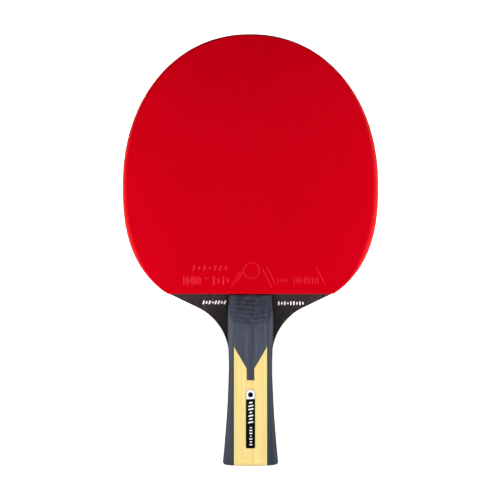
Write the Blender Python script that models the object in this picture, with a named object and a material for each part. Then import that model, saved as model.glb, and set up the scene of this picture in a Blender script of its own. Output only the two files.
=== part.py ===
"""Table tennis paddle: a laminated wood and carbon blade, two rubbers and an inlaid handle.

The paddle stands upright. +Z runs from the butt of the handle to the tip of the head, the
red face looks along -Y, and the middle plane of the blade is y = 0. All sizes are in metres.
"""

import math

import bmesh
import bpy

# Head outline: two half superellipses that share the widest line.
HEAD_HALF_WIDTH = 0.0755
RUBBER_EDGE_TO_WIDEST = 0.0643
WIDEST_TO_TIP = 0.0892
LOWER_CURVE_PAST_RUBBER = 0.0110  # how far below the rubber's edge the lower curve would close
HEAD_UPPER_POWER = 2.11
HEAD_LOWER_POWER = 2.55

# Handle outline, from the butt up.
HANDLE_LENGTH = 0.1010
HANDLE_TO_RUBBER = 0.0005
BUTT_HALF_WIDTH = 0.0165
WAIST_HALF_WIDTH = 0.01275
WAIST_HEIGHT = 0.0590
FLARE_POWER = 1.5
BULGE_HALF_WIDTH = 0.0134
BULGE_BELOW_TOP = 0.0200
TOP_HALF_WIDTH = 0.0123
BUTT_ROUND = 0.0020

# Wings, where the blade narrows from the head to the handle.
WING_SLOPE = math.radians(25.8)
WING_RADIUS = 0.0318
SHOULDER_ABOVE_RUBBER_EDGE = 0.0017

# Layers of the blade and the rubbers, from the middle out.
CORE_THICKNESS = 0.0028
INNER_PLY_THICKNESS = 0.0007
CARBON_THICKNESS = 0.0003
OUTER_PLY_THICKNESS = 0.0006
SPONGE_THICKNESS = 0.0020
TOPSHEET_THICKNESS = 0.0017
GLUE_LINE = 0.0001
BLADE_INSET = 0.0004  # the rubbers overhang the blade by this much
RUBBER_CORNER = 0.0004

# Handle scales: one on each face of the blade, crowned outside, with a ramp up to the rubber.
SCALE_DEPTH = 0.0083
SCALE_SIDE_DEPTH = 0.0040
CROWN_POWER = 2.5
RAMP_LENGTH = 0.0185
RAMP_EDGE_DEPTH = 0.0020

# Inlay: a light board between two strips, notched at the top by the arrow block.
STRIP_LEAST_WIDTH = 0.0021
SEAM_GAP = 0.0003
TONGUE_HALF_WIDTH = 0.0021
TONGUE_LENGTH = 0.0068
NOTCH_DEPTH = 0.0136

# Badge, let into the front inlay.
BADGE_HALF_WIDTH = 0.0027
BADGE_BOTTOM = 0.0107
BADGE_LENGTH = 0.0349
BADGE_TO_TONGUE = 0.0050
BADGE_THICKNESS = 0.0008
BADGE_PROUD = 0.0002
BADGE_CORNER = 0.0008
BADGE_CLEARANCE = 0.0002

# Numbers of facets.
HEAD_UPPER_STEPS = 22
HEAD_LOWER_STEPS = 12
WING_STEPS = 8
GRIP_STEPS = 12
ROUND_STEPS = 3
CROWN_STEPS = 12
BADGE_STEPS = 10

# Places worked out from the driving dimensions.
RUBBER_EDGE_HEIGHT = HANDLE_LENGTH + HANDLE_TO_RUBBER
WIDEST_HEIGHT = RUBBER_EDGE_HEIGHT + RUBBER_EDGE_TO_WIDEST
SHOULDER_HEIGHT = RUBBER_EDGE_HEIGHT + SHOULDER_ABOVE_RUBBER_EDGE
LOWER_CURVE_DROP = RUBBER_EDGE_TO_WIDEST + LOWER_CURVE_PAST_RUBBER
BULGE_HEIGHT = HANDLE_LENGTH - BULGE_BELOW_TOP
INLAY_HALF_WIDTH = min(WAIST_HALF_WIDTH, TOP_HALF_WIDTH) - STRIP_LEAST_WIDTH - SEAM_GAP
BADGE_TOP = BADGE_BOTTOM + BADGE_LENGTH
TONGUE_END_HEIGHT = BADGE_TOP + BADGE_TO_TONGUE
NOTCH_FOOT_HEIGHT = TONGUE_END_HEIGHT + TONGUE_LENGTH
INLAY_PEAK_HEIGHT = NOTCH_FOOT_HEIGHT + NOTCH_DEPTH
CUTTER_MARGIN = 0.0100
SMOOTH_ANGLE = math.radians(30)

STAINED_WOOD = ("stained_wood", (0.061, 0.073, 0.102), 0.55, 0.0)
LIGHT_WOOD = ("light_wood", (0.93, 0.75, 0.29), 0.5, 0.0)
OUTER_VENEER = ("outer_veneer", (0.032, 0.024, 0.026), 0.5, 0.0)
CARBON_FABRIC = ("carbon_fabric", (0.015, 0.015, 0.017), 0.35, 0.0)
INNER_VENEER = ("inner_veneer", (0.62, 0.42, 0.22), 0.6, 0.0)
CORE_WOOD = ("core_wood", (0.72, 0.54, 0.32), 0.6, 0.0)
RED_SPONGE = ("red_sponge", (0.85, 0.07, 0.03), 0.9, 0.0)
BLACK_SPONGE = ("black_sponge", (0.03, 0.03, 0.032), 0.9, 0.0)
RED_RUBBER = ("red_rubber", (0.62, 0.001, 0.010), 0.4, 0.0)
BLACK_RUBBER = ("black_rubber", (0.012, 0.012, 0.013), 0.4, 0.0)
BADGE_FACE = ("badge_face", (0.006, 0.006, 0.007), 0.3, 0.0)


def clear_scene():
    for old in list(bpy.data.objects):
        bpy.data.objects.remove(old)


def material(spec):
    """The Principled material of that name, made the first time it is asked for."""
    name, colour, roughness, metallic = spec
    made = bpy.data.materials.get(name)
    if made is None:
        made = bpy.data.materials.new(name)
        made.use_nodes = True
        shader = made.node_tree.nodes["Principled BSDF"]
        shader.inputs["Base Color"].default_value = (*colour, 1.0)
        shader.inputs["Roughness"].default_value = roughness
        shader.inputs["Metallic"].default_value = metallic
        made.diffuse_color = (*colour, 1.0)
    return made


def add_empty(name, location=(0.0, 0.0, 0.0), turn=0.0, parent=None):
    empty = bpy.data.objects.new(name, None)
    empty.location = location
    empty.rotation_euler = (0.0, 0.0, turn)
    empty.parent = parent
    bpy.context.scene.collection.objects.link(empty)
    return empty


def add_object(name, mesh, parent, finish=None, location=(0.0, 0.0, 0.0)):
    """An object for this mesh. Without a finish it is a cutter, which isn't shown."""
    made = bpy.data.objects.new(name, mesh)
    made.location = location
    made.parent = parent
    bpy.context.scene.collection.objects.link(made)
    if finish:
        mesh.materials.append(material(finish))
    else:
        made.hide_render = True
        made.display_type = "WIRE"
    return made


def finished_mesh(name, shape):
    """The bmesh as a mesh with its faces out, smooth apart from its corners."""
    bmesh.ops.recalc_face_normals(shape, faces=shape.faces)
    mesh = bpy.data.meshes.new(name)
    shape.to_mesh(mesh)
    shape.free()
    mesh.shade_smooth()
    mesh.set_sharp_from_angle(angle=SMOOTH_ANGLE)
    return mesh


def extruded(outline, start, end):
    """A bmesh: the (x, z) outline as a plate from y = start to y = end."""
    shape = bmesh.new()
    corners = [shape.verts.new((x, start, z)) for x, z in outline]
    face = shape.faces.new(corners)
    moved = bmesh.ops.extrude_face_region(shape, geom=[face])["geom"]
    for item in moved:
        if isinstance(item, bmesh.types.BMVert):
            item.co.y = end
    return shape


def mirrored(right_side):
    """A closed outline from its right-hand edge, which starts on the middle line at the top."""
    left_side = [(-x, z) for x, z in reversed(right_side[1:])]
    return right_side + left_side


def quarter_curve(half_width, height, power, angle):
    """Point on a quarter superellipse: (x, height above the widest line)."""
    x = half_width * max(math.cos(angle), 0.0) ** (2 / power)
    return x, height * math.sin(angle) ** (2 / power)


def head_side(bottom, inset):
    """Right-hand edge of the head from the tip down to the height bottom, as (x, z) points."""
    half_width = HEAD_HALF_WIDTH - inset
    edge = []
    for i in range(HEAD_UPPER_STEPS + 1):
        angle = math.pi / 2 * (1 - i / HEAD_UPPER_STEPS)
        x, rise = quarter_curve(half_width, WIDEST_TO_TIP - inset, HEAD_UPPER_POWER, angle)
        edge.append((x, WIDEST_HEIGHT + rise))
    share = (WIDEST_HEIGHT - bottom) / LOWER_CURVE_DROP
    last = math.asin(share ** (HEAD_LOWER_POWER / 2))
    for i in range(1, HEAD_LOWER_STEPS + 1):
        angle = last * i / HEAD_LOWER_STEPS
        x, drop = quarter_curve(half_width, LOWER_CURVE_DROP, HEAD_LOWER_POWER, angle)
        edge.append((x, WIDEST_HEIGHT - drop))
    return edge


def butt_inset(z):
    """How far the rounded edge of the butt pulls the sides in at height z."""
    if z >= BUTT_ROUND:
        return 0.0
    return BUTT_ROUND - math.sqrt(BUTT_ROUND**2 - (BUTT_ROUND - z) ** 2)


def handle_half_width(z):
    """Half-width of the handle: flared at the butt, narrowest at the waist, full below the ramp."""
    if z < WAIST_HEIGHT:
        flare = ((WAIST_HEIGHT - z) / WAIST_HEIGHT) ** FLARE_POWER
        return WAIST_HALF_WIDTH + (BUTT_HALF_WIDTH - WAIST_HALF_WIDTH) * flare - butt_inset(z)
    if z < BULGE_HEIGHT:
        rise = (z - WAIST_HEIGHT) / (BULGE_HEIGHT - WAIST_HEIGHT)
        return WAIST_HALF_WIDTH + (BULGE_HALF_WIDTH - WAIST_HALF_WIDTH) * rise**2 * (3 - 2 * rise)
    fall = (z - BULGE_HEIGHT) / BULGE_BELOW_TOP
    return BULGE_HALF_WIDTH - (BULGE_HALF_WIDTH - TOP_HALF_WIDTH) * fall**2


def handle_heights(top):
    """Heights of the handle's sections from top down to the butt, closer in its rounded edge."""
    grip = [top + (BUTT_ROUND - top) * i / GRIP_STEPS for i in range(GRIP_STEPS + 1)]
    turn = [math.pi / 2 * i / ROUND_STEPS for i in range(1, ROUND_STEPS + 1)]
    return grip + [BUTT_ROUND * (1 - math.sin(angle)) for angle in turn]


def blade_outline():
    """Outline of every ply: head, straight shoulder, hollow wing, and a tongue down the handle."""
    edge = head_side(SHOULDER_HEIGHT, BLADE_INSET)
    shoulder_x, shoulder_z = edge[-1]
    centre_x = WAIST_HALF_WIDTH + WING_RADIUS
    run = shoulder_x - centre_x + WING_RADIUS * math.sin(WING_SLOPE)
    centre_z = shoulder_z - WING_RADIUS * math.cos(WING_SLOPE) - run * math.tan(WING_SLOPE)
    for i in range(WING_STEPS):
        angle = WING_SLOPE + (math.pi / 2 - WING_SLOPE) * i / WING_STEPS
        x = centre_x - WING_RADIUS * math.sin(angle)
        z = centre_z + WING_RADIUS * math.cos(angle)
        edge.append((max(x, handle_half_width(z)), z))
    for z in handle_heights(centre_z):
        edge.append((handle_half_width(z), z))
    return mirrored(edge)


def add_plate(name, outline, inner_face, thickness, front, parent, finish):
    """A flat layer whose inner face is inner_face from the middle plane, on the front or back."""
    shape = extruded(outline, -thickness / 2, thickness / 2)
    middle = inner_face + thickness / 2
    place = (0.0, -middle if front else middle, 0.0)
    return add_object(name, finished_mesh(name, shape), parent, finish, place)


def add_rubber_layer(name, inner_face, thickness, front, parent, finish):
    """A sponge or a topsheet: the head above a straight lower edge with rounded corners."""
    outline = mirrored(head_side(RUBBER_EDGE_HEIGHT, 0.0))
    shape = extruded(outline, -thickness / 2, thickness / 2)
    corners = [
        edge
        for edge in shape.edges
        if all(abs(v.co.z - RUBBER_EDGE_HEIGHT) < GLUE_LINE for v in edge.verts)
        and edge.verts[0].co.x * edge.verts[1].co.x > 0
    ]
    bmesh.ops.bevel(
        shape, geom=corners, offset=RUBBER_CORNER, segments=ROUND_STEPS, affect="EDGES"
    )
    middle = inner_face + thickness / 2
    place = (0.0, -middle if front else middle, 0.0)
    return add_object(name, finished_mesh(name, shape), parent, finish, place)


def add_blade_and_rubbers(parent):
    """The seven plies of the blade and the two layers of each rubber. Returns the blade's half
    thickness."""
    outline = blade_outline()
    shape = extruded(outline, -CORE_THICKNESS / 2, CORE_THICKNESS / 2)
    add_object("core_ply", finished_mesh("core_ply", shape), parent, CORE_WOOD)
    plies = (
        ("inner_ply", INNER_PLY_THICKNESS, INNER_VENEER),
        ("carbon_layer", CARBON_THICKNESS, CARBON_FABRIC),
        ("outer_ply", OUTER_PLY_THICKNESS, OUTER_VENEER),
    )
    rubbers = (("front", RED_SPONGE, RED_RUBBER), ("back", BLACK_SPONGE, BLACK_RUBBER))
    for side, sponge, topsheet in rubbers:
        front = side == "front"
        face = CORE_THICKNESS / 2
        for name, thickness, finish in plies:
            inner = face + GLUE_LINE
            add_plate(f"{side}_{name}", outline, inner, thickness, front, parent, finish)
            face = inner + thickness
        inner = face + GLUE_LINE
        add_rubber_layer(f"{side}_sponge", inner, SPONGE_THICKNESS, front, parent, sponge)
        inner += SPONGE_THICKNESS + GLUE_LINE
        add_rubber_layer(f"{side}_topsheet", inner, TOPSHEET_THICKNESS, front, parent, topsheet)
    return face


def scale_section(z):
    """One section of a scale as (x, depth) points: flat against the blade, crowned outside."""
    half_width = handle_half_width(z)
    crown = SCALE_DEPTH - SCALE_SIDE_DEPTH - butt_inset(z)
    points = [(half_width, 0.0)]
    for i in range(CROWN_STEPS + 1):
        angle = math.pi * i / CROWN_STEPS
        across = math.copysign(abs(math.cos(angle)) ** (2 / CROWN_POWER), math.cos(angle))
        rise = abs(math.sin(angle)) ** (2 / CROWN_POWER)
        points.append((half_width * across, SCALE_SIDE_DEPTH + crown * rise))
    points.append((-half_width, 0.0))
    return points


def scale_body():
    """A bmesh of a whole scale before it is divided. Depth runs along -Y from the blade."""
    shape = bmesh.new()
    rings = [
        [shape.verts.new((x, -depth, z)) for x, depth in scale_section(z)]
        for z in handle_heights(HANDLE_LENGTH)
    ]
    for upper, lower in zip(rings, rings[1:]):
        for i in range(len(upper)):
            j = (i + 1) % len(upper)
            shape.faces.new((upper[i], upper[j], lower[j], lower[i]))
    shape.faces.new(rings[0])
    shape.faces.new(rings[-1])
    return shape


def notch_edge_height(x, gap):
    """Height of the notch's sloping edge at x, raised square to itself by gap."""
    slope = (INLAY_PEAK_HEIGHT - NOTCH_FOOT_HEIGHT) / (INLAY_HALF_WIDTH - TONGUE_HALF_WIDTH)
    return INLAY_PEAK_HEIGHT - (INLAY_HALF_WIDTH - x) * slope + gap * math.hypot(1.0, slope)


def strip_outline(direction):
    """Outline that cuts the left (-1) or right (1) strip out of a scale."""
    inner = direction * (INLAY_HALF_WIDTH + SEAM_GAP)
    outer = direction * (max(BUTT_HALF_WIDTH, BULGE_HALF_WIDTH) + CUTTER_MARGIN)
    top = HANDLE_LENGTH + CUTTER_MARGIN
    return [(inner, -CUTTER_MARGIN), (outer, -CUTTER_MARGIN), (outer, top), (inner, top)]


def arrow_outline():
    """Outline of the arrow block: full width at the top, tapering to a tongue."""
    tongue = TONGUE_HALF_WIDTH - SEAM_GAP
    right = [
        (0.0, HANDLE_LENGTH + CUTTER_MARGIN),
        (INLAY_HALF_WIDTH, HANDLE_LENGTH + CUTTER_MARGIN),
        (INLAY_HALF_WIDTH, notch_edge_height(INLAY_HALF_WIDTH, SEAM_GAP)),
        (tongue, notch_edge_height(tongue, SEAM_GAP)),
        (tongue, TONGUE_END_HEIGHT + SEAM_GAP),
    ]
    return mirrored(right)


def inlay_outline():
    """Outline of the light inlay, with the notch that holds the arrow block."""
    right = [
        (0.0, TONGUE_END_HEIGHT),
        (TONGUE_HALF_WIDTH, TONGUE_END_HEIGHT),
        (TONGUE_HALF_WIDTH, NOTCH_FOOT_HEIGHT),
        (INLAY_HALF_WIDTH, INLAY_PEAK_HEIGHT),
        (INLAY_HALF_WIDTH, -CUTTER_MARGIN),
    ]
    return mirrored(right)


def badge_outline(gap):
    """Outline of the badge, widened by gap: a half round top and small lower corners."""
    half_width = BADGE_HALF_WIDTH + gap
    corner = BADGE_CORNER + gap
    shoulder = BADGE_TOP - BADGE_HALF_WIDTH
    right = []
    for i in range(BADGE_STEPS + 1):
        angle = math.pi / 2 * (1 - i / BADGE_STEPS)
        x = half_width * math.cos(angle) if i else 0.0
        right.append((x, shoulder + half_width * math.sin(angle)))
    for i in range(ROUND_STEPS + 1):
        angle = math.pi / 2 * i / ROUND_STEPS
        x = half_width - corner * (1 - math.cos(angle))
        right.append((x, BADGE_BOTTOM - gap + corner * (1 - math.sin(angle))))
    return mirrored(right)


def ramp_wedge():
    """A bmesh of what is cut away above the ramp that leads from the handle to the rubber."""
    slope = (SCALE_DEPTH - RAMP_EDGE_DEPTH) / RAMP_LENGTH
    top = HANDLE_LENGTH + CUTTER_MARGIN
    bottom = HANDLE_LENGTH - RAMP_LENGTH - CUTTER_MARGIN
    outer = SCALE_DEPTH + slope * CUTTER_MARGIN
    section = [(RAMP_EDGE_DEPTH - slope * CUTTER_MARGIN, top), (outer, bottom), (outer, top)]
    reach = max(TOP_HALF_WIDTH, BULGE_HALF_WIDTH) + CUTTER_MARGIN
    shape = bmesh.new()
    ends = [
        [shape.verts.new((x, -depth, z)) for depth, z in section] for x in (-reach, reach)
    ]
    for end in ends:
        shape.faces.new(end)
    for i in range(len(section)):
        j = (i + 1) % len(section)
        shape.faces.new((ends[0][i], ends[0][j], ends[1][j], ends[1][i]))
    return shape


def add_cutter(name, shape, parent):
    return add_object(name, finished_mesh(name, shape), parent)


def cut(piece, cutter, operation):
    modifier = piece.modifiers.new(cutter.name, "BOOLEAN")
    modifier.operation = operation
    modifier.solver = "EXACT"
    modifier.object = cutter


def add_scale(side, parent):
    """The four pieces of one handle scale, each cut out of the same crowned body."""
    outlines = {
        "left_strip": (strip_outline(-1), STAINED_WOOD),
        "right_strip": (strip_outline(1), STAINED_WOOD),
        "arrow_block": (arrow_outline(), STAINED_WOOD),
        "inlay": (inlay_outline(), LIGHT_WOOD),
    }
    wedge = add_cutter(f"{side}_ramp_cutter", ramp_wedge(), parent)
    pieces = {}
    for name, (outline, finish) in outlines.items():
        mesh = finished_mesh(f"{side}_{name}", scale_body())
        piece = add_object(f"{side}_{name}", mesh, parent, finish)
        prism = extruded(outline, CUTTER_MARGIN, -SCALE_DEPTH - CUTTER_MARGIN)
        cut(piece, add_cutter(f"{side}_{name}_cutter", prism, parent), "INTERSECT")
        cut(piece, wedge, "DIFFERENCE")
        pieces[name] = piece
    return pieces


def add_badge(inlay, parent):
    """The badge and its pocket in the front inlay."""
    face = SCALE_DEPTH + BADGE_PROUD
    floor = face - BADGE_THICKNESS
    plate = extruded(badge_outline(0.0), -floor, -face)
    add_object("front_badge", finished_mesh("front_badge", plate), parent, BADGE_FACE)
    pocket_floor = floor - GLUE_LINE
    pocket = extruded(badge_outline(BADGE_CLEARANCE), -pocket_floor, -face - CUTTER_MARGIN)
    cut(inlay, add_cutter("front_badge_pocket_cutter", pocket, parent), "DIFFERENCE")


def build():
    clear_scene()
    paddle = add_empty("paddle")
    blade_half = add_blade_and_rubbers(paddle)
    scale_face = blade_half + GLUE_LINE
    front = add_empty("front_scale", (0.0, -scale_face, 0.0), 0.0, paddle)
    back = add_empty("back_scale", (0.0, scale_face, 0.0), math.pi, paddle)
    front_pieces = add_scale("front", front)
    add_scale("back", back)
    add_badge(front_pieces["inlay"], front)


build()
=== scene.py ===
"""The looks of the table tennis paddle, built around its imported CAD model.

Every piece takes its outline and place from the CAD nodes: flat layers from their own
outline, handle pieces from the outline of the strips. Metres, +Z up, red face towards -Y.
"""

import math
import random

import bmesh
import bpy
import numpy as np
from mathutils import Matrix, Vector
from mathutils.kdtree import KDTree


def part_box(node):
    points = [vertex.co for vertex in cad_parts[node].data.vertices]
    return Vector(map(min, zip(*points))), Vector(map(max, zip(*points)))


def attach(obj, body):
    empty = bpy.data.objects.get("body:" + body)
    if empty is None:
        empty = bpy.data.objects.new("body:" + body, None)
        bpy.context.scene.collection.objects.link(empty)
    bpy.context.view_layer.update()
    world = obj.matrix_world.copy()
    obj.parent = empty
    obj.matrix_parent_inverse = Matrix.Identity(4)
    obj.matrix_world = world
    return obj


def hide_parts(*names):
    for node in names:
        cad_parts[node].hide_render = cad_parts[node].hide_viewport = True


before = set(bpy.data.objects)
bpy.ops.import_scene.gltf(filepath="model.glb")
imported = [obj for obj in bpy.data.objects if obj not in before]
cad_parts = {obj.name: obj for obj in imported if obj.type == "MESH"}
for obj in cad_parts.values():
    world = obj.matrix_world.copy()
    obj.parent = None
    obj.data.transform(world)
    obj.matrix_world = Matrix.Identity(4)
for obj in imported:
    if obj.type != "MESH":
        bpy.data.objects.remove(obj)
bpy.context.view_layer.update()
random.seed(7)

# Outlines read from the CAD layers.
CORNER_TURN = math.radians(15)  # a sharper turn than this stays a corner
SHARP_EDGE = math.radians(35)  # faces that meet at more than this aren't shaded as one
OUTLINE_STEP = 0.0010
LEVEL = 0.00002  # vertices this near a face's plane are on it
WELD = 0.000002  # vertices this near each other are one
GLUE_FILL = 0.00004  # how far a layer grows into each glue line beside it

# Rubbers: the hand-cut edge leans in towards the face, most of all past the foam. Lean, round
# and trim are full at the sides, and lose these shares at the foot and at the tip.
FOOT_LOSS = 0.93
TIP_LOSS = 0.72
RIGHT_GAIN = 0.12  # the right side has this much more of them, and the left this much less
SPONGE_LEAN = 0.0006
PIP_LEAN = 0.0010
SHEET_THICKNESS = 0.0011
SHEET_ROUND = 0.0018
SHEET_STEPS = 8
SPONGE_STEPS = 5
SPONGE_RAGGED = (-0.00003, 0.00006)
PIP_PITCH = 0.0024
PIP_RADIUS = 0.00090
PIP_TAPER = 0.85
PIP_SIDES = 10
PIP_BAND = 0.0050  # pips are made this far in from the edge, where they can be seen
PIP_CORE = 0.94  # inside them the layer is one body, whose outline is the edge scaled by this
PIP_OVERHANG = 1 / 3  # of its radius: how far past the edge the middle of a pip may be
MARK_HEIGHT = 0.00010
MARK_CHAMFER = 0.00012
MARK_LINE = 0.0005  # stroke of the thin moulded lines
BAR_LENGTHS = (1.0, 0.7, 1.0, 0.5, 1.0, 1.0, 0.7)  # shares of full length along a row of bars
RING_RADIUS = 0.0046
RING_STEPS = 36
FRONT_TRIM = 0.00036  # the red rubber is cut this much closer at the sides than the black one
LEAST_TRIM_SHARE = 0.2

# Handle.
BUTT_ROUND = 0.0020
BUTT_CROWN = 0.0011
BUTT_CROWN_REACH = 0.0140
SCALE_SIDE_DEPTH = 0.0040
CROWN_POWER = 2.5
RAMP_LENGTH = 0.0185
RAMP_EDGE_DEPTH = 0.0020
RAMP_BLEND = 0.0006
RAMP_END_ROUND = 0.0005
TONGUE_HALF_WIDTH = 0.0021
TONGUE_LENGTH = 0.0068
SEAM = 0.00014  # half of the line round the inlay
TIGHT_SEAM = 0.00001  # half of the line between the two stained woods
GRID_STEP = 0.0010
CAD_SEAM = 0.0003  # between the handle's CAD pieces
LAYER_PITCH = 0.00085  # of the stained wood's growth layers
LAYER_RADIUS = 0.110  # how far behind the handle's middle plane their centre is
HANDLE_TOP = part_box("front_arrow_block")[1].z

# Prints and the badge.
PRINT_HEIGHT = 0.00003
PRINT_CHAMFER = 0.00002
BADGE_ROUND = 0.00015
CAP_LENGTH = 0.0060
CAP_MARGIN = 0.0002
SIGN_DROP = 0.0033  # from the badge's top to the middle of its dot
SIGN_SIZE = 0.0030
SIGN_FLAT = 0.00005  # straight stretch between the two halves of its round

# Camera: a long lens straight in front of the paddle.
LENS = 500.0
SENSOR = 36.0
FRAME_WIDTH = 0.2947  # what the picture takes in, at the red face
CAMERA_SIDE = -0.0003
CAMERA_HEIGHT = 0.1275

# Light and room. The dome stays inside the clipping distance of the view cameras.
FLOOR_GLOW = 0.96
FLOOR_REACH = 12.0
DOME_RADIUS = 9.5
WORLD_HORIZON = 0.02
WORLD_TOP = 0.12
LAMPS = (
    ("left_lamp", (-0.32, -0.155, 0.088), 0.14, 0.64),
    ("right_lamp", (0.32, -0.155, 0.088), 0.14, 0.64),
    ("back_lamp", (0.5, 1.60, 0.80), 1.2, 9.0),
)


# ---------------------------------------------------------------- materials


class Graph:
    """A material's nodes, with short calls for what the finishes share."""

    def __init__(self, name):
        self.material = bpy.data.materials.new(name)
        self.material.use_nodes = True
        self.nodes = self.material.node_tree.nodes
        self.links = self.material.node_tree.links
        self.shader = self.nodes["Principled BSDF"]
        self.place = self.nodes.new("ShaderNodeTexCoord").outputs["Object"]

    def set(self, **values):
        """Plain values on the shader's own sockets, named with _ for each space."""
        for name, value in values.items():
            self.shader.inputs[name.replace("_", " ")].default_value = value

    def feed(self, socket, value):
        """A link where value is a socket, and a plain value where it is a number or colour."""
        if isinstance(value, bpy.types.NodeSocket):
            self.links.new(value, socket)
        elif isinstance(value, tuple) and len(value) == 3 and socket.type == "RGBA":
            socket.default_value = (*value, 1.0)
        else:
            socket.default_value = value

    def stretched(self, x, y, z):
        """The place on the object with each axis scaled."""
        node = self.nodes.new("ShaderNodeMapping")
        self.links.new(self.place, node.inputs["Vector"])
        node.inputs["Scale"].default_value = (x, y, z)
        return node.outputs["Vector"]

    def noise(self, vector, scale=1.0, detail=3.0, roughness=0.5, distortion=0.0):
        node = self.nodes.new("ShaderNodeTexNoise")
        self.links.new(vector, node.inputs["Vector"])
        node.inputs["Scale"].default_value = scale
        node.inputs["Detail"].default_value = detail
        node.inputs["Roughness"].default_value = roughness
        node.inputs["Distortion"].default_value = distortion
        return node.outputs["Fac"]

    def cells(self, vector, scale=1.0):
        node = self.nodes.new("ShaderNodeTexVoronoi")
        self.links.new(vector, node.inputs["Vector"])
        node.inputs["Scale"].default_value = scale
        return node.outputs["Distance"]

    def ramp(self, factor, *stops):
        """Colours along a factor, as (position, colour) stops."""
        node = self.nodes.new("ShaderNodeValToRGB")
        self.links.new(factor, node.inputs["Fac"])
        elements = node.color_ramp.elements
        while len(elements) < len(stops):
            elements.new(0.5)
        for element, (position, colour) in zip(elements, stops):
            element.position = position
            element.color = (*colour, 1.0)
        return node.outputs["Color"]

    def fade(self, factor, low, high, start=0.0, end=1.0):
        """A number that goes from start to end as the factor goes from low to high."""
        node = self.nodes.new("ShaderNodeMapRange")
        self.feed(node.inputs["Value"], factor)
        node.inputs["From Min"].default_value = low
        node.inputs["From Max"].default_value = high
        node.inputs["To Min"].default_value = start
        node.inputs["To Max"].default_value = end
        return node.outputs["Result"]

    def mix(self, factor, first, second, blend="MIX"):
        node = self.nodes.new("ShaderNodeMix")
        node.data_type = "RGBA"
        node.blend_type = blend
        self.feed(node.inputs[0], factor)
        self.feed(node.inputs[6], first)
        self.feed(node.inputs[7], second)
        return node.outputs[2]

    def math(self, operation, first, second=0.0):
        node = self.nodes.new("ShaderNodeMath")
        node.operation = operation
        self.feed(node.inputs[0], first)
        self.feed(node.inputs[1], second)
        return node.outputs[0]

    def axes(self):
        """The place's X, Y and Z as three numbers."""
        node = self.nodes.new("ShaderNodeSeparateXYZ")
        self.links.new(self.place, node.inputs[0])
        return node.outputs[0], node.outputs[1], node.outputs[2]

    def joined(self, x, y, z):
        node = self.nodes.new("ShaderNodeCombineXYZ")
        for socket, value in zip(node.inputs, (x, y, z)):
            self.feed(socket, value)
        return node.outputs[0]

    def bump(self, height, distance, strength=1.0):
        node = self.nodes.new("ShaderNodeBump")
        self.links.new(height, node.inputs["Height"])
        node.inputs["Distance"].default_value = distance
        node.inputs["Strength"].default_value = strength
        self.links.new(node.outputs["Normal"], self.shader.inputs["Normal"])

    def colour(self, value):
        self.feed(self.shader.inputs["Base Color"], value)

    def roughness(self, value):
        self.feed(self.shader.inputs["Roughness"], value)


def rubber_finish(name, dark, light, roughness, sheen):
    """A smooth moulded sheet: faint clouding, a fine grain and a soft sheen of its own tint."""
    g = Graph(name)
    cloud = g.noise(g.stretched(30, 30, 30), detail=2)
    grain = g.noise(g.stretched(2600, 2600, 2600), detail=2, roughness=0.7)
    g.colour(g.mix(g.fade(cloud, 0.35, 0.65), dark, light))
    g.roughness(g.fade(grain, 0.3, 0.7, roughness - 0.05, roughness + 0.07))
    g.set(Specular_IOR_Level=0.22, Specular_Tint=(*sheen, 1.0))
    g.bump(grain, 0.00002)
    return g.material


def sponge_finish(name, dark, light):
    """Cut foam: open pores of two sizes, with painted shade inside them."""
    g = Graph(name)
    pores = g.cells(g.stretched(3000, 3000, 3000))
    large = g.cells(g.stretched(1300, 1300, 1300))
    open_cells = g.math("MULTIPLY", g.fade(pores, 0.15, 0.5), g.fade(large, 0.1, 0.4))
    g.colour(g.mix(open_cells, dark, light))
    g.set(Roughness=0.95, Specular_IOR_Level=0.15)
    g.bump(open_cells, 0.00012)
    return g.material


def edge_wood_finish(name, dark, light):
    """Bare wood of a ply: long fibres up the blade with short pores between them."""
    g = Graph(name)
    fibres = g.noise(g.stretched(900, 2500, 45), detail=4, roughness=0.6)
    pores = g.noise(g.stretched(3500, 3500, 260), detail=2)
    shade = g.math("ADD", g.fade(fibres, 0.3, 0.7, 0.0, 0.75), g.fade(pores, 0.55, 0.8, 0.0, 0.4))
    g.colour(g.mix(shade, light, dark))
    g.roughness(g.fade(fibres, 0.3, 0.7, 0.5, 0.75))
    g.set(Specular_IOR_Level=0.3)
    g.bump(fibres, 0.00005)
    return g.material


def stained_veneer_finish():
    """Black-stained veneer with open grain, as on the wings, with painted shade beside the handle and
    on the lower wings.
    """
    g = Graph("stained_veneer")
    pores = g.noise(g.stretched(3200, 3200, 420), detail=3, roughness=0.65)
    figure = g.noise(g.stretched(420, 420, 40), detail=3)
    fleck = g.noise(g.stretched(1500, 1500, 900), detail=2)
    base = g.ramp(pores, (0.35, (0.012, 0.009, 0.009)), (0.72, (0.082, 0.058, 0.064)))
    tinted = g.mix(g.fade(figure, 0.35, 0.7, 0.0, 0.55), base, (0.016, 0.013, 0.014))
    flecked = g.mix(g.fade(fleck, 0.55, 0.75, 0.0, 0.5), tinted, (0.10, 0.072, 0.085))
    x, _, z = g.axes()
    # Painted shade: the veneer turns near-black next to the handle and lower down on the wings.
    beside = g.fade(g.math("ABSOLUTE", x), 0.0135, 0.0180, 0.6, 0.0)
    below = g.fade(z, 0.084, 0.099, 0.45, 0.0)
    g.colour(g.mix(g.math("MAXIMUM", beside, below), flecked, (0.006, 0.005, 0.005)))
    g.roughness(g.fade(pores, 0.3, 0.7, 0.42, 0.62))
    g.set(Specular_IOR_Level=0.35)
    g.bump(pores, 0.00006)
    return g.material


def carbon_finish():
    """The cut edge of a woven fibre layer in resin."""
    g = Graph("carbon_edge")
    tows = g.noise(g.stretched(700, 4000, 700), detail=3)
    g.colour(g.ramp(tows, (0.35, (0.006, 0.006, 0.007)), (0.7, (0.04, 0.04, 0.045))))
    g.roughness(g.fade(tows, 0.3, 0.7, 0.25, 0.45))
    g.bump(tows, 0.00003)
    return g.material


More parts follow.
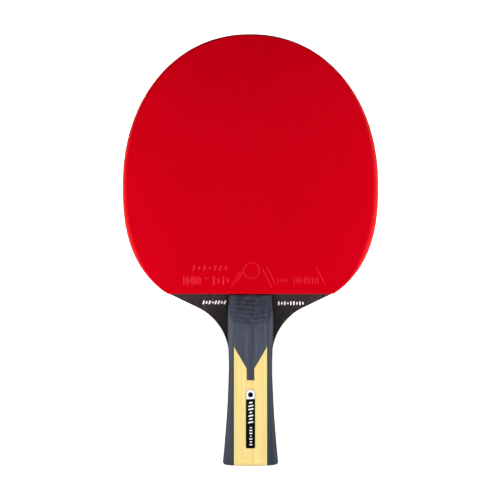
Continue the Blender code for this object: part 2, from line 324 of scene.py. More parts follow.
def stained_wood_finish(name, high, low, shade):
    """Grey-blue stained wood whose layers bow out, so the ramp cuts them in smiles, with painted
    shade that darkens the ramp towards its top.

    high and low are how far it goes to the shade above and below the inlay's peak.
    """
    g = Graph(name)
    x, y, z = g.axes()
    rise = g.math("ADD", g.math("ABSOLUTE", y), LAYER_RADIUS)
    squares = g.math("ADD", g.math("MULTIPLY", x, x), g.math("MULTIPLY", rise, rise))
    layer = g.math("SQRT", squares)
    wander = g.noise(g.stretched(260, 260, 60), detail=3)
    layer = g.math("ADD", layer, g.fade(wander, 0.0, 1.0, -0.0005, 0.0005))
    bands = g.math("SINE", g.math("MULTIPLY", layer, 2 * math.pi / LAYER_PITCH))
    fibres = g.noise(g.stretched(900, 900, 34), detail=5, roughness=0.66)
    streaks = g.noise(g.stretched(420, 420, 14), detail=3)
    base = g.ramp(
        fibres,
        (0.30, (0.040, 0.050, 0.076)),
        (0.50, (0.076, 0.092, 0.133)),
        (0.72, (0.122, 0.144, 0.196)),
    )
    streaked = g.mix(g.fade(streaks, 0.42, 0.66, 0.0, 0.5), base, (0.074, 0.075, 0.104))
    streaked = g.mix(g.fade(z, 0.060, 0.078, low, high), streaked, shade)
    ramp_foot = HANDLE_TOP - RAMP_LENGTH
    on_ramp = g.fade(z, ramp_foot - 0.0018, ramp_foot + 0.0004)
    ragged = g.fade(g.noise(g.stretched(330, 900, 900), detail=2), 0.35, 0.6, 0.3, 1.0)
    # Painted shade: the ramp turns darker towards its top, where it tilts up away from the light.
    painted_shade_up_ramp = g.fade(z, ramp_foot, HANDLE_TOP, -0.05, 0.85)
    layers = g.math("ADD", g.fade(bands, -0.2, 0.8, 0.0, 0.50), painted_shade_up_ramp)
    central = g.math("MULTIPLY", on_ramp, g.fade(g.math("ABSOLUTE", x), 0.0072, 0.0110, 1.0, 0.1))
    # The growth-layer bands are the wood's own; the painted shade of the ramp is added to them.
    bands_and_painted_shade = g.math("MULTIPLY", layers, g.math("MULTIPLY", central, ragged))
    g.colour(g.mix(bands_and_painted_shade, streaked, (0.022, 0.024, 0.033)))
    g.roughness(g.fade(fibres, 0.3, 0.7, 0.48, 0.64))
    g.set(Specular_IOR_Level=0.35)
    g.bump(g.math("SUBTRACT", fibres, g.math("MULTIPLY", bands_and_painted_shade, 0.5)), 0.00006)
    return g.material


def light_wood_finish():
    """Pale straight-grained wood under satin lacquer, with painted shade on the butt's underside."""
    g = Graph("light_wood")
    fibres = g.noise(g.stretched(1500, 1500, 20), detail=4, roughness=0.6)
    streaks = g.noise(g.stretched(330, 330, 6), detail=2, distortion=0.2)
    flecks = g.noise(g.stretched(5200, 5200, 330), detail=1)
    base = g.ramp(
        streaks,
        (0.30, (0.93, 0.770, 0.300)),
        (0.50, (0.91, 0.700, 0.225)),
        (0.70, (0.89, 0.610, 0.165)),
    )
    grained = g.mix(g.fade(fibres, 0.35, 0.7, 0.45, 0.0), base, (0.95, 0.82, 0.41))
    flecked = g.mix(g.fade(flecks, 0.62, 0.8, 0.0, 0.35), grained, (0.80, 0.50, 0.17))
    _, _, z = g.axes()
    # Painted shade: the wood turns darker and greyer over the lowest 2 mm, on the underside of the
    # butt.
    g.colour(g.mix(g.fade(z, 0.0006, 0.0022, 0.75, 0.0), flecked, (0.42, 0.34, 0.22)))
    g.roughness(g.fade(fibres, 0.3, 0.7, 0.42, 0.56))
    g.set(Specular_IOR_Level=0.4)
    g.bump(fibres, 0.00004)
    return g.material


def print_finish(name, colour, mottled, roughness):
    """Printed or moulded plastic with a faint mottle."""
    g = Graph(name)
    mottle = g.noise(g.stretched(1800, 1800, 1800), detail=2)
    g.colour(g.mix(g.fade(mottle, 0.3, 0.7), colour, mottled))
    g.roughness(g.fade(mottle, 0.3, 0.7, roughness - 0.06, roughness + 0.06))
    g.set(Specular_IOR_Level=0.2)
    g.bump(mottle, 0.000008)
    return g.material


RED_SHEEN = (1.0, 0.02, 0.05)
GREY_SHEEN = (1.0, 1.0, 1.0)
RUBBERS = (
    ("red_rubber", (0.590, 0.0, 0.0070), (0.610, 0.0, 0.0078), 0.42, RED_SHEEN),
    ("red_marks", (0.72, 0.012, 0.02), (0.78, 0.02, 0.03), 0.5, RED_SHEEN),
    # The pips are coloured lighter than their sheet, red and black alike: painted light against the
    # shade between them.
    ("red_pips", (0.86, 0.010, 0.018), (0.92, 0.016, 0.024), 0.6, RED_SHEEN),
    ("black_rubber", (0.011, 0.011, 0.012), (0.016, 0.016, 0.017), 0.40, GREY_SHEEN),
    ("black_pips", (0.014, 0.014, 0.015), (0.020, 0.020, 0.021), 0.6, GREY_SHEEN),
    ("black_marks", (0.02, 0.02, 0.021), (0.03, 0.03, 0.031), 0.48, GREY_SHEEN),
)
STRIPS = {
    "left_strip_wood": (0.12, 0.50, (0.001, 0.006, 0.014)),
    "right_strip_wood": (0.42, 0.62, (0.001, 0.011, 0.017)),
}
FINISHES = {
    **{name: rubber_finish(name, *values) for name, *values in RUBBERS},
    **{name: stained_wood_finish(name, *values) for name, values in STRIPS.items()},
    "front_sponge": sponge_finish("front_sponge", (0.72, 0.012, 0.010), (0.96, 0.030, 0.026)),
    "back_sponge": sponge_finish("back_sponge", (0.012, 0.012, 0.013), (0.045, 0.045, 0.048)),
    "core_wood": edge_wood_finish("core_wood", (0.50, 0.32, 0.15), (0.78, 0.60, 0.36)),
    "inner_veneer": edge_wood_finish("inner_veneer", (0.38, 0.22, 0.10), (0.62, 0.42, 0.22)),
    "outer_veneer": stained_veneer_finish(),
    "carbon_fabric": carbon_finish(),
    "stained_wood": stained_wood_finish("stained_wood", 0.12, 0.12, (0.001, 0.002, 0.005)),
    "light_wood": light_wood_finish(),
    "badge_black": print_finish("badge_black", (0.003, 0.002, 0.002), (0.006, 0.004, 0.004), 0.3),
    "print_white": print_finish("print_white", (0.98, 0.98, 0.99), (0.93, 0.93, 0.95), 0.4),
}


# ----------------------------------------------------------------- outlines


def cad_outline(node):
    """The (x, z) outline of a flat CAD layer, read off its front face, in order."""
    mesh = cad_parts[node].data
    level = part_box(node)[0].y + LEVEL
    after = {}
    for polygon in mesh.polygons:
        corners = [mesh.vertices[i].co for i in polygon.vertices]
        if max(c.y for c in corners) > level:
            continue
        keys = [(round(c.x, 6), round(c.z, 6)) for c in corners]
        for a, b in zip(keys, keys[1:] + keys[:1]):
            if after.get(b) and a in after[b]:
                after[b].remove(a)
            else:
                after.setdefault(a, []).append(b)
    start = max((key for key, following in after.items() if following), key=lambda k: k[1])
    loop, here = [start], after[start][0]
    while here != start:
        loop.append(here)
        here = after[here][0]
    return np.array(loop)


def curve(t, start, leaving, end, arriving):
    """The point at t, from 0 to 1, of a smooth curve with these end points and end slopes."""
    return (
        (2 * t**3 - 3 * t**2 + 1) * start
        + (t**3 - 2 * t**2 + t) * leaving
        + (3 * t**2 - 2 * t**3) * end
        + (t**3 - t**2) * arriving
    )


def refined(loop):
    """The loop with curved stretches filled in smoothly, and its corners kept."""
    count = len(loop)
    steps = np.roll(loop, -1, axis=0) - loop
    lengths = np.linalg.norm(steps, axis=1)
    directions = steps / lengths[:, None]
    before = np.roll(directions, 1, axis=0)
    turns = np.arccos(np.clip((directions * before).sum(1), -1, 1))
    weights = lengths[:, None] ** 2
    tangents = directions * weights + before * np.roll(weights, 1, axis=0)
    tangents /= np.linalg.norm(tangents, axis=1)[:, None]
    made = []
    for i in range(count):
        j = (i + 1) % count
        leaving = lengths[i] * (directions[i] if turns[i] > CORNER_TURN else tangents[i])
        arriving = lengths[i] * (directions[i] if turns[j] > CORNER_TURN else tangents[j])
        pieces = max(1, round(lengths[i] / OUTLINE_STEP))
        made += [curve(k / pieces, loop[i], leaving, loop[j], arriving) for k in range(pieces)]
    return np.array(made)


def outward(loop):
    """The outward direction at each point of a loop."""
    along = np.roll(loop, -1, axis=0) - np.roll(loop, 1, axis=0)
    along /= np.linalg.norm(along, axis=1)[:, None]
    area = (loop[:, 0] * np.roll(loop[:, 1], -1) - np.roll(loop[:, 0], -1) * loop[:, 1]).sum()
    side = 1.0 if area > 0 else -1.0
    return np.stack([along[:, 1], -along[:, 0]], axis=1) * side


def moved_in(loop, distance):
    """The loop moved inwards by a distance, or by one for each point."""
    return loop - outward(loop) * np.reshape(distance, (-1, 1))


def crowned_butt(x, z):
    """Height z raised towards the sides near the butt, whose end is slightly round."""
    fade = max(0.0, 1.0 - z / BUTT_CROWN_REACH)
    return z + BUTT_CROWN * (x / BUTT_HALF) ** 2 * fade**2


# ------------------------------------------------------------------- meshes


def spread(start, end, count):
    """Numbers from start to end in count even steps."""
    return [start + (end - start) * i / count for i in range(count + 1)]


def add_piece(name, shape, finish, slot, *nodes):
    """An object for the bmesh, riding on the paddle and standing for these CAD nodes."""
    bmesh.ops.recalc_face_normals(shape, faces=shape.faces)
    mesh = bpy.data.meshes.new(name)
    shape.to_mesh(mesh)
    shape.free()
    mesh.shade_smooth()
    mesh.set_sharp_from_angle(angle=SHARP_EDGE)
    mesh.materials.append(FINISHES[finish])
    piece = bpy.data.objects.new(name, mesh)
    bpy.context.scene.collection.objects.link(piece)
    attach(piece, "root")
    if nodes:
        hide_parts(*nodes)
    return piece


def stack(shape, rings):
    """A closed body through rings of (y, loop), capped at both ends."""
    made = [[shape.verts.new((x, y, z)) for x, z in loop] for y, loop in rings]
    for first, second in zip(made, made[1:]):
        for i in range(len(first)):
            j = (i + 1) % len(first)
            shape.faces.new((first[i], first[j], second[j], second[i]))
    shape.faces.new(made[0])
    shape.faces.new(made[-1])


def add_layer(name, finish, slot):
    """A ply of the blade: the CAD layer with a smooth outline, grown into its glue lines."""
    low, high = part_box(name)
    loop = refined(cad_outline(name))
    loop = np.array([(x, crowned_butt(x, z)) for x, z in loop])
    shape = bmesh.new()
    stack(shape, [(low.y - GLUE_FILL, loop), (high.y + GLUE_FILL, loop)])
    add_piece(f"{name}_board", shape, finish, slot, name)


def smooth_step(values):
    """0 up to 0, 1 from 1 on, and a smooth rise between."""
    share = np.clip(values, 0.0, 1.0)
    return share * share * (3.0 - 2.0 * share)


def edge_share(loop):
    """How much of the full lean, round and trim each point of the edge has: most at the sides."""
    out = outward(loop)
    at_foot = smooth_step((-out[:, 1] - 0.3) / 0.55)
    at_tip = smooth_step(out[:, 1])
    return (1.0 + RIGHT_GAIN * out[:, 0]) * (1.0 - FOOT_LOSS * at_foot - TIP_LOSS * at_tip)


class Rubber:
    """The places of one rubber: side is -1 in front and 1 behind."""

    def __init__(self, face):
        self.face = face
        self.side = -1 if face == "front" else 1
        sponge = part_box(f"{face}_sponge")
        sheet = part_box(f"{face}_topsheet")
        ends = sorted(abs(v.y) for v in (*sponge, *sheet))
        self.blade_side, self.face_side = ends[0], ends[-1]
        self.sponge_top = ends[1] + GLUE_FILL
        self.pip_foot = ends[2] - GLUE_FILL
        self.sheet_back = self.face_side - SHEET_THICKNESS
        trim = FRONT_TRIM if face == "front" else 0.0
        outline = refined(cad_outline(f"{face}_topsheet"))
        self.share = edge_share(outline)
        self.loop = moved_in(outline, trim * np.maximum(self.share, LEAST_TRIM_SHARE))

    def outline(self, depth, more=0.0):
        """The leaning edge's outline at this distance from the blade's middle plane."""
        stops = (self.blade_side, self.pip_foot, self.sheet_back)
        lean = np.interp(depth, stops, (0.0, SPONGE_LEAN, SPONGE_LEAN + PIP_LEAN))
        return moved_in(self.loop, self.share * lean + more)

    def ring(self, depth, more=0.0):
        return self.side * depth, self.outline(depth, more)


def add_sponge(rubber):
    """Foam with a slightly ragged cut edge."""
    shape = bmesh.new()
    rings = []
    for depth in spread(rubber.blade_side, rubber.sponge_top, SPONGE_STEPS):
        ragged = np.array([random.uniform(*SPONGE_RAGGED) for _ in rubber.loop])
        rings.append(rubber.ring(depth, ragged))
    stack(shape, rings)
    name = f"{rubber.face}_sponge"
    add_piece(f"{name}_foam", shape, name, name, name)


def add_sheet(rubber, finish, slot):
    """The outer sheet, rounded from its back to its face."""
    shape = bmesh.new()
    rings = []
    for turn in spread(0.0, math.pi / 2, SHEET_STEPS):
        depth = rubber.sheet_back + SHEET_THICKNESS * math.sin(turn)
        rings.append(rubber.ring(depth, rubber.share * SHEET_ROUND * (1 - math.cos(turn))))
    stack(shape, rings)
    add_piece(f"{rubber.face}_rubber_sheet", shape, finish, slot, f"{rubber.face}_topsheet")


def add_pips(rubber, finish, slot):
    """The pips between sheet and sponge, where the edge shows them, cut off flush with it."""
    edge = rubber.outline((rubber.pip_foot + rubber.sheet_back) / 2)
    out = outward(edge)
    tree = KDTree(len(edge))
    for i, (x, z) in enumerate(edge):
        tree.insert((x, 0.0, z), i)
    tree.balance()

    def beyond(x, z):
        """How far a point is outside the edge, and the outward direction there."""
        _, i, _ = tree.find((x, 0.0, z))
        return (x - edge[i][0]) * out[i][0] + (z - edge[i][1]) * out[i][1], out[i]

    shape = bmesh.new()
    low, high = edge.min(axis=0), edge.max(axis=0)
    rows = int((high[1] - low[1]) / (PIP_PITCH * math.sqrt(3) / 2)) + 2
    columns = int((high[0] - low[0]) / PIP_PITCH) + 2
    for row in range(rows):
        for column in range(columns):
            x = low[0] + (column + 0.5 * (row % 2)) * PIP_PITCH
            z = low[1] + row * PIP_PITCH * math.sqrt(3) / 2
            if not -PIP_BAND < beyond(x, z)[0] < PIP_RADIUS * PIP_OVERHANG:
                continue
            ends = []
            for depth, radius in (
                (rubber.pip_foot, PIP_RADIUS * PIP_TAPER),
                (rubber.sheet_back + GLUE_FILL, PIP_RADIUS),
            ):
                corners = []
                for k in range(PIP_SIDES):
                    angle = 2 * math.pi * k / PIP_SIDES
                    px, pz = x + radius * math.cos(angle), z + radius * math.sin(angle)
                    past, direction = beyond(px, pz)
                    past = max(past, 0.0)
                    corners.append((px - past * direction[0], pz - past * direction[1]))
                ends.append((rubber.side * depth, corners))
            stack(shape, ends)
    middle = (low + high) / 2
    core = middle + (edge - middle) * PIP_CORE
    ends = (rubber.pip_foot, rubber.sheet_back + GLUE_FILL)
    stack(shape, [(rubber.side * depth, core) for depth in ends])
    add_piece(f"{rubber.face}_pips", shape, finish, slot, f"{rubber.face}_topsheet")


def bar_outline(x, z, length, width, angle=0.0, steps=5):
    """A bar with round ends, centred on (x, z), its length along +X before it is turned."""
    radius = width / 2
    reach = length / 2 - radius
    points = []
    for end in (1, -1):
        for i in range(steps + 1):
            turn = math.pi * (i / steps - 0.5) + (0.0 if end > 0 else math.pi)
            points.append((end * reach + radius * math.cos(turn), radius * math.sin(turn)))
    c, s = math.cos(angle), math.sin(angle)
    return np.array([(x + px * c - pz * s, z + px * s + pz * c) for px, pz in points])


def raise_mark(shape, outline, side, face, height, chamfer):
    """A flat-topped mark that stands on a face by its height, with sloping sides."""
    stack(
        shape,
        [
            (side * (face - height), outline),
            (side * face, outline),
            (side * (face + height), moved_in(outline, chamfer)),
        ],
    )


def hatch(start, end, level, height, stroke, pitch, tilt=0.0, upright=False):
    """Outlines of a row of parallel bars along X, or along Z if upright. Some are shorter."""
    count = int((end - start) / pitch)
    made = []
    for i in range(count):
        along = start + (i + 0.5) * (end - start) / count
        length = height * BAR_LENGTHS[i % len(BAR_LENGTHS)]
        if upright:
            made.append(bar_outline(level, along, length, stroke, tilt))
        else:
            made.append(bar_outline(along, level, length, stroke, math.pi / 2 - tilt))
    return made


def add_rubber_marks(rubber, finish, slot):
    """A moulded band at the foot of the sheet: rows of small bars, slanting bars and a ring."""
    face, side = rubber.face_side, rubber.side
    turn = -side  # the band reads the same way on both faces
    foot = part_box(f"{rubber.face}_topsheet")[0].z
    shape = bmesh.new()

    def mark(outline):
        raise_mark(shape, outline, side, face, MARK_HEIGHT, MARK_CHAMFER)

    for start, end, height, length, stroke, pitch, tilt in (
        (-0.0350, -0.0130, 0.0154, 0.0036, 0.00120, 0.00300, 0.25),
        (-0.0400, -0.0290, 0.0080, 0.0054, 0.00075, 0.00120, 0.0),
        (-0.0230, -0.0120, 0.0080, 0.0054, 0.00120, 0.00270, 0.0),
        (0.0155, 0.0222, 0.0082, 0.0030, 0.00060, 0.00160, 0.0),
        (0.0250, 0.0405, 0.0081, 0.0044, 0.00075, 0.00155, 0.0),
    ):
        for outline in hatch(start, end, 0.0, length, stroke, pitch, tilt):
            mark(outline * (turn, 1.0) + (0.0, foot + height))
    mark(bar_outline(turn * -0.0257, foot + 0.0095, 0.0022, MARK_LINE))
    for x, middle, length, angle in (
        (-0.0088, foot + 0.0088, 0.0105, 60),
        (-0.0064, foot + 0.0102, 0.0075, 60),
        (0.0098, foot + 0.0095, 0.0125, -64),
        (0.0122, foot + 0.0110, 0.0115, -64),
        (0.0415, foot + 0.0106, 0.0110, -64),
    ):
        mark(bar_outline(turn * x, middle, length, MARK_LINE, turn * math.radians(angle)))
    for i in range(RING_STEPS):
        angle = 2 * math.pi * (i + 0.5) / RING_STEPS
        px = turn * 0.0006 + RING_RADIUS * math.cos(angle)
        pz = foot + 0.0140 + RING_RADIUS * math.sin(angle)
        mark(bar_outline(px, pz, 0.0012, MARK_LINE, angle + math.pi / 2, 3))
    add_piece(f"{rubber.face}_moulded_marks", shape, finish, slot)


# ------------------------------------------------------------------- handle


def handle_edge():
    """The strip's outer edge against the blade, as heights and half-widths from the butt up."""
    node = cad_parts["front_right_strip"].data
    low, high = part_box("front_right_strip")
    edge = {}
    for vertex in node.vertices:
        if vertex.co.y > high.y - LEVEL and vertex.co.z > BUTT_ROUND - LEVEL:
            height = round(vertex.co.z, 5)
            edge[height] = max(edge.get(height, 0.0), vertex.co.x)
    heights = sorted(edge)
    return np.array(heights), np.array([edge[h] for h in heights])


EDGE_HEIGHTS, EDGE_WIDTHS = handle_edge()
EDGE_SLOPES = np.gradient(EDGE_WIDTHS, EDGE_HEIGHTS)
BUTT_HALF = float(EDGE_WIDTHS[0])
BLADE_FACE = -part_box("front_inlay")[1].y
SCALE_DEPTH = -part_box("front_inlay")[0].y - BLADE_FACE
INLAY_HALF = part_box("front_inlay")[1].x
INLAY_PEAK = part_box("front_inlay")[1].z
TONGUE_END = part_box("front_arrow_block")[0].z - CAD_SEAM / 2
NOTCH_FOOT = TONGUE_END + TONGUE_LENGTH


def half_width(z):
    """Half-width of the handle at height z, as a smooth curve through the CAD sections."""
    z_in = min(max(z, EDGE_HEIGHTS[0]), EDGE_HEIGHTS[-1])
    i = int(np.clip(np.searchsorted(EDGE_HEIGHTS, z_in) - 1, 0, len(EDGE_HEIGHTS) - 2))
    span = EDGE_HEIGHTS[i + 1] - EDGE_HEIGHTS[i]
    t = (z_in - EDGE_HEIGHTS[i]) / span
    leaving, arriving = span * EDGE_SLOPES[i], span * EDGE_SLOPES[i + 1]
    width = curve(t, EDGE_WIDTHS[i], leaving, EDGE_WIDTHS[i + 1], arriving)
    return width + EDGE_SLOPES[0] * (z - z_in) - butt_inset(z)


def butt_inset(z):
    """How far the rounded edge of the butt pulls the sides in at height z."""
    if z >= BUTT_ROUND:
        return 0.0
    return BUTT_ROUND - math.sqrt(BUTT_ROUND**2 - (BUTT_ROUND - z) ** 2)


def scale_depth(x, z):
    """Thickness of a scale at (x, z): crowned, with a ramp up to the rubber."""
    across = min(abs(x) / half_width(z), 1.0)
    rise = (1.0 - across**CROWN_POWER) ** (1 / CROWN_POWER)
    crown = SCALE_SIDE_DEPTH + (SCALE_DEPTH - SCALE_SIDE_DEPTH - butt_inset(z)) * rise
    below_top = HANDLE_TOP - z
    ramp = RAMP_EDGE_DEPTH + (SCALE_DEPTH - RAMP_EDGE_DEPTH) * below_top / RAMP_LENGTH
    overlap = max(RAMP_BLEND - abs(crown - ramp), 0.0) / RAMP_BLEND
    depth = min(crown, ramp) - overlap**2 * RAMP_BLEND / 4
    if below_top < RAMP_END_ROUND:
        turn = RAMP_END_ROUND - below_top
        depth -= RAMP_END_ROUND - math.sqrt(max(RAMP_END_ROUND**2 - turn**2, 0.0))
    return depth


def notch_half_width(z):
    """Half-width of the arrow block at height z: its tongue, its slope and its full width."""
    share = (z - NOTCH_FOOT) / (INLAY_PEAK - NOTCH_FOOT)
    share = min(max(share, 0.0), 1.0)
    return TONGUE_HALF_WIDTH + (INLAY_HALF - TONGUE_HALF_WIDTH) * share


def seam(z):
    """Half of the seam's width beside the strips: it closes above the inlay."""
    return SEAM if z < INLAY_PEAK + TIGHT_SEAM else TIGHT_SEAM


def heights_between(low, high, *stops):
    """Heights for a grid's rows from low to high, through each stop."""
    made = [low]
    for stop in (*stops, high):
        start = made[-1]
        count = max(1, round((stop - start) / GRID_STEP))
        made += [start + (stop - start) * i / count for i in range(1, count + 1)]
    return made


def butt_heights():
    """Heights round the butt's edge, closer together at the end."""
    return [BUTT_ROUND * (1 - math.cos(math.pi / 2 * i / 6)) for i in range(6)]


def add_slab(name, patches, side, finish, slot, node):
    """A handle piece: grids of (x, z) points on the scale's surface, closed down to the blade.

    side is -1 in front and 1 behind, where the piece is turned round as a whole.
    """
    shape = bmesh.new()
    face = BLADE_FACE - GLUE_FILL

    def place(x, depth, z):
        return shape.verts.new((-side * x, side * (face + depth), crowned_butt(x, z)))

    for rows in patches:
        grid = [[place(x, scale_depth(x, z) + GLUE_FILL, z) for x, z in row] for row in rows]
        for upper, lower in zip(grid, grid[1:]):
            for i in range(len(upper) - 1):
                shape.faces.new((upper[i], upper[i + 1], lower[i + 1], lower[i]))
    bmesh.ops.remove_doubles(shape, verts=shape.verts, dist=WELD)
    rim = [edge for edge in shape.edges if edge.is_boundary]
    grown = bmesh.ops.extrude_edge_only(shape, edges=rim)["geom"]
    foot = [item for item in grown if isinstance(item, bmesh.types.BMVert)]
    for vertex in foot:
        vertex.co.y = side * face
    floor_rim = [e for e in shape.edges if e.is_boundary]
    bmesh.ops.contextual_create(shape, geom=floor_rim)
    return add_piece(name, shape, finish, slot, node)


def strip_patch(direction):
    """Grid over a side strip, from its seam out over the rounded edge."""
    rows = []
    for z in butt_heights() + heights_between(BUTT_ROUND, HANDLE_TOP - RAMP_END_ROUND) + ramp_end():
        inner, outer = INLAY_HALF + seam(z), half_width(z)
        start = math.acos(min((inner / outer) ** (CROWN_POWER / 2), 1.0))
        turns = spread(start, 0.0, 16)
        rows.append([(direction * outer * math.cos(t) ** (2 / CROWN_POWER), z) for t in turns])
    return rows


def ramp_end():
    """Heights round the ramp's upper edge."""
    return [HANDLE_TOP - RAMP_END_ROUND * (1 - math.sin(math.pi / 2 * i / 4)) for i in range(1, 5)]


def arrow_patch():
    """Grid over the arrow block, from the end of its tongue up the ramp."""
    heights = heights_between(TONGUE_END + SEAM, HANDLE_TOP - RAMP_END_ROUND, NOTCH_FOOT, INLAY_PEAK)
    rows = []
    for z in heights + ramp_end():
        edge = notch_half_width(z) - seam(z)
        rows.append([(x, z) for x in spread(-edge, edge, 30)])
    return rows


def inlay_patches():
    """Grids over the inlay: its foot, and a leg on each side of the notch."""
    across = spread(-INLAY_HALF + SEAM, -TONGUE_HALF_WIDTH - SEAM, 12)
    middle = spread(-TONGUE_HALF_WIDTH - SEAM, TONGUE_HALF_WIDTH + SEAM, 6)
    columns = across + middle[1:] + [-x for x in reversed(across)][1:]
    foot_heights = butt_heights() + heights_between(BUTT_ROUND, TONGUE_END)
    foot = [[(x, z) for x in columns] for z in foot_heights]
    legs = {-1: [], 1: []}
    for z in heights_between(TONGUE_END, INLAY_PEAK, NOTCH_FOOT):
        inner = min(notch_half_width(z) + SEAM, INLAY_HALF - SEAM)
        for side, rows in legs.items():
            rows.append([(side * x, z) for x in spread(INLAY_HALF - SEAM, inner, 12)])
    return [foot, legs[-1], legs[1]]


def add_scale(face):
    """The four pieces of a handle scale."""
    side = -1 if face == "front" else 1
    for name, direction in (("left_strip", -1), ("right_strip", 1)):
        patch = [strip_patch(direction)]
        node = f"{face}_{name}"
        add_slab(f"{node}_wood", patch, side, f"{name}_wood", "stained_wood", node)
    node = f"{face}_arrow_block"
    add_slab(f"{node}_wood", [arrow_patch()], side, "stained_wood", "stained_wood", node)
    node = f"{face}_inlay"
    add_slab(f"{node}_wood", inlay_patches(), side, "light_wood", "light_wood", node)


# -------------------------------------------------------------------- marks


def add_print(name, finish, slot, face, outlines):
    """A thin print of these outlines on a front face."""
    shape = bmesh.new()
    for outline in outlines:
        raise_mark(shape, outline, -1, face, PRINT_HEIGHT, PRINT_CHAMFER)
    add_piece(name, shape, finish, slot)


def add_badge():
    """The badge: a black plate with a white cap, a plain dot and two rows of small bars."""
    low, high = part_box("front_badge")
    face = -low.y
    loop = refined(cad_outline("front_badge"))
    shape = bmesh.new()
    stack(
        shape,
        [
            (high.y, loop),
            (-(face - BADGE_ROUND), loop),
            (-(face - BADGE_ROUND * 0.3), moved_in(loop, BADGE_ROUND * 0.3)),
            (-face, moved_in(loop, BADGE_ROUND)),
        ],
    )
    add_piece("badge_plate", shape, "badge_black", "badge_face", "front_badge")
    cap_foot = high.z - CAP_LENGTH
    cap = np.array([(x, max(z, cap_foot)) for x, z in moved_in(loop, CAP_MARGIN)])
    keep = [i for i in range(len(cap)) if cap[i][1] > cap_foot or cap[i - 1][1] > cap_foot]
    add_print("badge_cap", "print_white", "badge_face", face, [cap[keep]])
    sign = bar_outline(0.0, high.z - SIGN_DROP, SIGN_SIZE + SIGN_FLAT, SIGN_SIZE, 0.0, 12)
    add_print("badge_sign", "badge_black", "badge_face", face + PRINT_HEIGHT, [sign])
    bars = [
        *hatch(low.z + 0.0144, cap_foot - 0.0010, 0.0002, 0.0032, 0.00085, 0.00185, 0.2, True),
        *hatch(low.z + 0.0014, low.z + 0.0130, 0.0002, 0.0020, 0.00070, 0.00150, 0.0, True),
    ]
    add_print("badge_bars", "print_white", "badge_face", face, bars)


def add_wing_prints():
    """A row of white bars printed on the front of each wing."""
    face = -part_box("front_outer_ply")[0].y + GLUE_FILL
    bars = [
        *hatch(-0.0286, -0.0142, 0.0966, 0.0025, 0.00090, 0.00175, 0.35),
        *hatch(0.0158, 0.0318, 0.0961, 0.0024, 0.00090, 0.00175),
    ]
    add_print("wing_prints", "print_white", "outer_veneer", face, bars)


# -------------------------------------------------------------------- stage


def add_floor():
    """A wide pale floor that glows a little, so that it meets the pale backdrop unseen."""
    mesh = bpy.data.meshes.new("floor")
    corners = [(x * FLOOR_REACH, y * FLOOR_REACH, 0) for x, y in ((-1, -1), (1, -1), (1, 1), (-1, 1))]
    mesh.from_pydata(corners, [], [(0, 1, 2, 3)])
    floor = bpy.data.objects.new("floor", mesh)
    bpy.context.scene.collection.objects.link(floor)
    g = Graph("floor_paint")
    cloud = g.noise(g.stretched(3, 3, 3))
    g.colour(g.mix(g.fade(cloud, 0.3, 0.7), (0.86, 0.86, 0.86), (0.88, 0.88, 0.88)))
    g.set(Roughness=0.9, Specular_IOR_Level=0.0)
    g.set(Emission_Color=(1, 1, 1, 1), Emission_Strength=FLOOR_GLOW)
    mesh.materials.append(g.material)
    floor.visible_glossy = False


def add_backdrop():
    """A pale dome that only the camera sees, so it neither lights the paddle nor shines in it."""
    shape = bmesh.new()
    bmesh.ops.create_uvsphere(shape, u_segments=48, v_segments=24, radius=DOME_RADIUS)
    mesh = bpy.data.meshes.new("backdrop")
    shape.to_mesh(mesh)
    shape.free()
    backdrop = bpy.data.objects.new("backdrop", mesh)
    bpy.context.scene.collection.objects.link(backdrop)
    g = Graph("backdrop_paint")
    g.colour((1.0, 1.0, 1.0))
    g.set(Roughness=1.0, Specular_IOR_Level=0.0, Emission_Color=(1, 1, 1, 1), Emission_Strength=1.0)
    mesh.materials.append(g.material)
    backdrop.visible_diffuse = False
    backdrop.visible_glossy = False
    backdrop.visible_shadow = False
    backdrop.visible_transmission = False


def add_light(name, place, target, size, power):
    """A soft round lamp turned to the target, unseen by the camera."""
    light = bpy.data.lights.new(name, "AREA")
    light.shape = "DISK"
    light.size = size
    light.energy = power
    lamp = bpy.data.objects.new(name, light)
    lamp.location = place
    lamp.rotation_euler = (Vector(target) - Vector(place)).to_track_quat("-Z", "Y").to_euler()
    lamp.visible_camera = False
    bpy.context.scene.collection.objects.link(lamp)


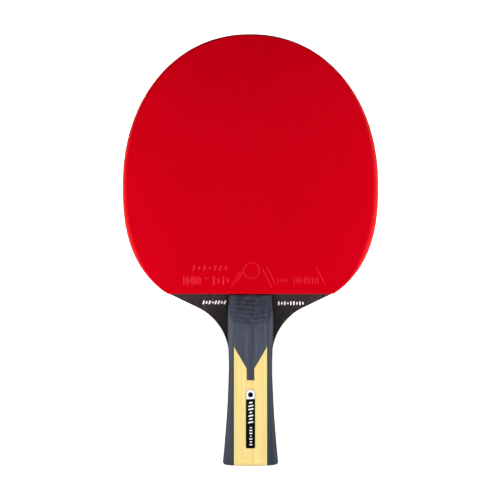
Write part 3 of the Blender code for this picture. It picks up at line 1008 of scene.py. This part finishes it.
def add_studio():
    """A dim world, a little brighter overhead, a soft lamp low at each side and one behind."""
    world = bpy.data.worlds.new("studio")
    world.use_nodes = True
    nodes, links = world.node_tree.nodes, world.node_tree.links
    place = nodes.new("ShaderNodeTexCoord")
    split = nodes.new("ShaderNodeSeparateXYZ")
    links.new(place.outputs["Generated"], split.inputs[0])
    fade = nodes.new("ShaderNodeMapRange")
    links.new(split.outputs[2], fade.inputs["Value"])
    fade.inputs["From Min"].default_value = 0.0
    fade.inputs["From Max"].default_value = 1.0
    fade.inputs["To Min"].default_value = WORLD_HORIZON
    fade.inputs["To Max"].default_value = WORLD_TOP
    links.new(fade.outputs["Result"], nodes["Background"].inputs["Strength"])
    nodes["Background"].inputs["Color"].default_value = (1.0, 1.0, 1.0, 1.0)
    bpy.context.scene.world = world
    world.cycles_visibility.glossy = False
    target = (0.0, 0.0, 0.12)
    for name, place, size, power in LAMPS:
        add_light(name, place, target, size, power)


def add_camera():
    """A camera far in front, so that the paddle is seen almost without perspective."""
    camera = bpy.data.objects.new("camera", bpy.data.cameras.new("camera"))
    camera.data.lens = LENS
    camera.data.sensor_width = SENSOR
    distance = FRAME_WIDTH * LENS / SENSOR
    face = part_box("front_topsheet")[0].y
    camera.location = (CAMERA_SIDE, face - distance, CAMERA_HEIGHT)
    camera.rotation_euler = (math.pi / 2, 0.0, 0.0)
    camera.data.clip_end = 100.0
    bpy.context.scene.collection.objects.link(camera)
    bpy.context.scene.camera = camera


# -------------------------------------------------------------------- build

for node, finish in (
    ("core_ply", "core_wood"),
    ("front_inner_ply", "inner_veneer"),
    ("back_inner_ply", "inner_veneer"),
    ("front_carbon_layer", "carbon_fabric"),
    ("back_carbon_layer", "carbon_fabric"),
    ("front_outer_ply", "outer_veneer"),
    ("back_outer_ply", "outer_veneer"),
):
    add_layer(node, finish, finish)

for rubber, colour in ((Rubber("front"), "red"), (Rubber("back"), "black")):
    add_sponge(rubber)
    add_pips(rubber, f"{colour}_pips", f"{colour}_rubber")
    add_sheet(rubber, f"{colour}_rubber", f"{colour}_rubber")
    add_rubber_marks(rubber, f"{colour}_marks", f"{colour}_rubber")

add_scale("front")
add_scale("back")
add_badge()
add_wing_prints()
add_floor()
add_backdrop()
add_studio()
add_camera()
bpy.context.scene.view_settings.view_transform = "Standard"
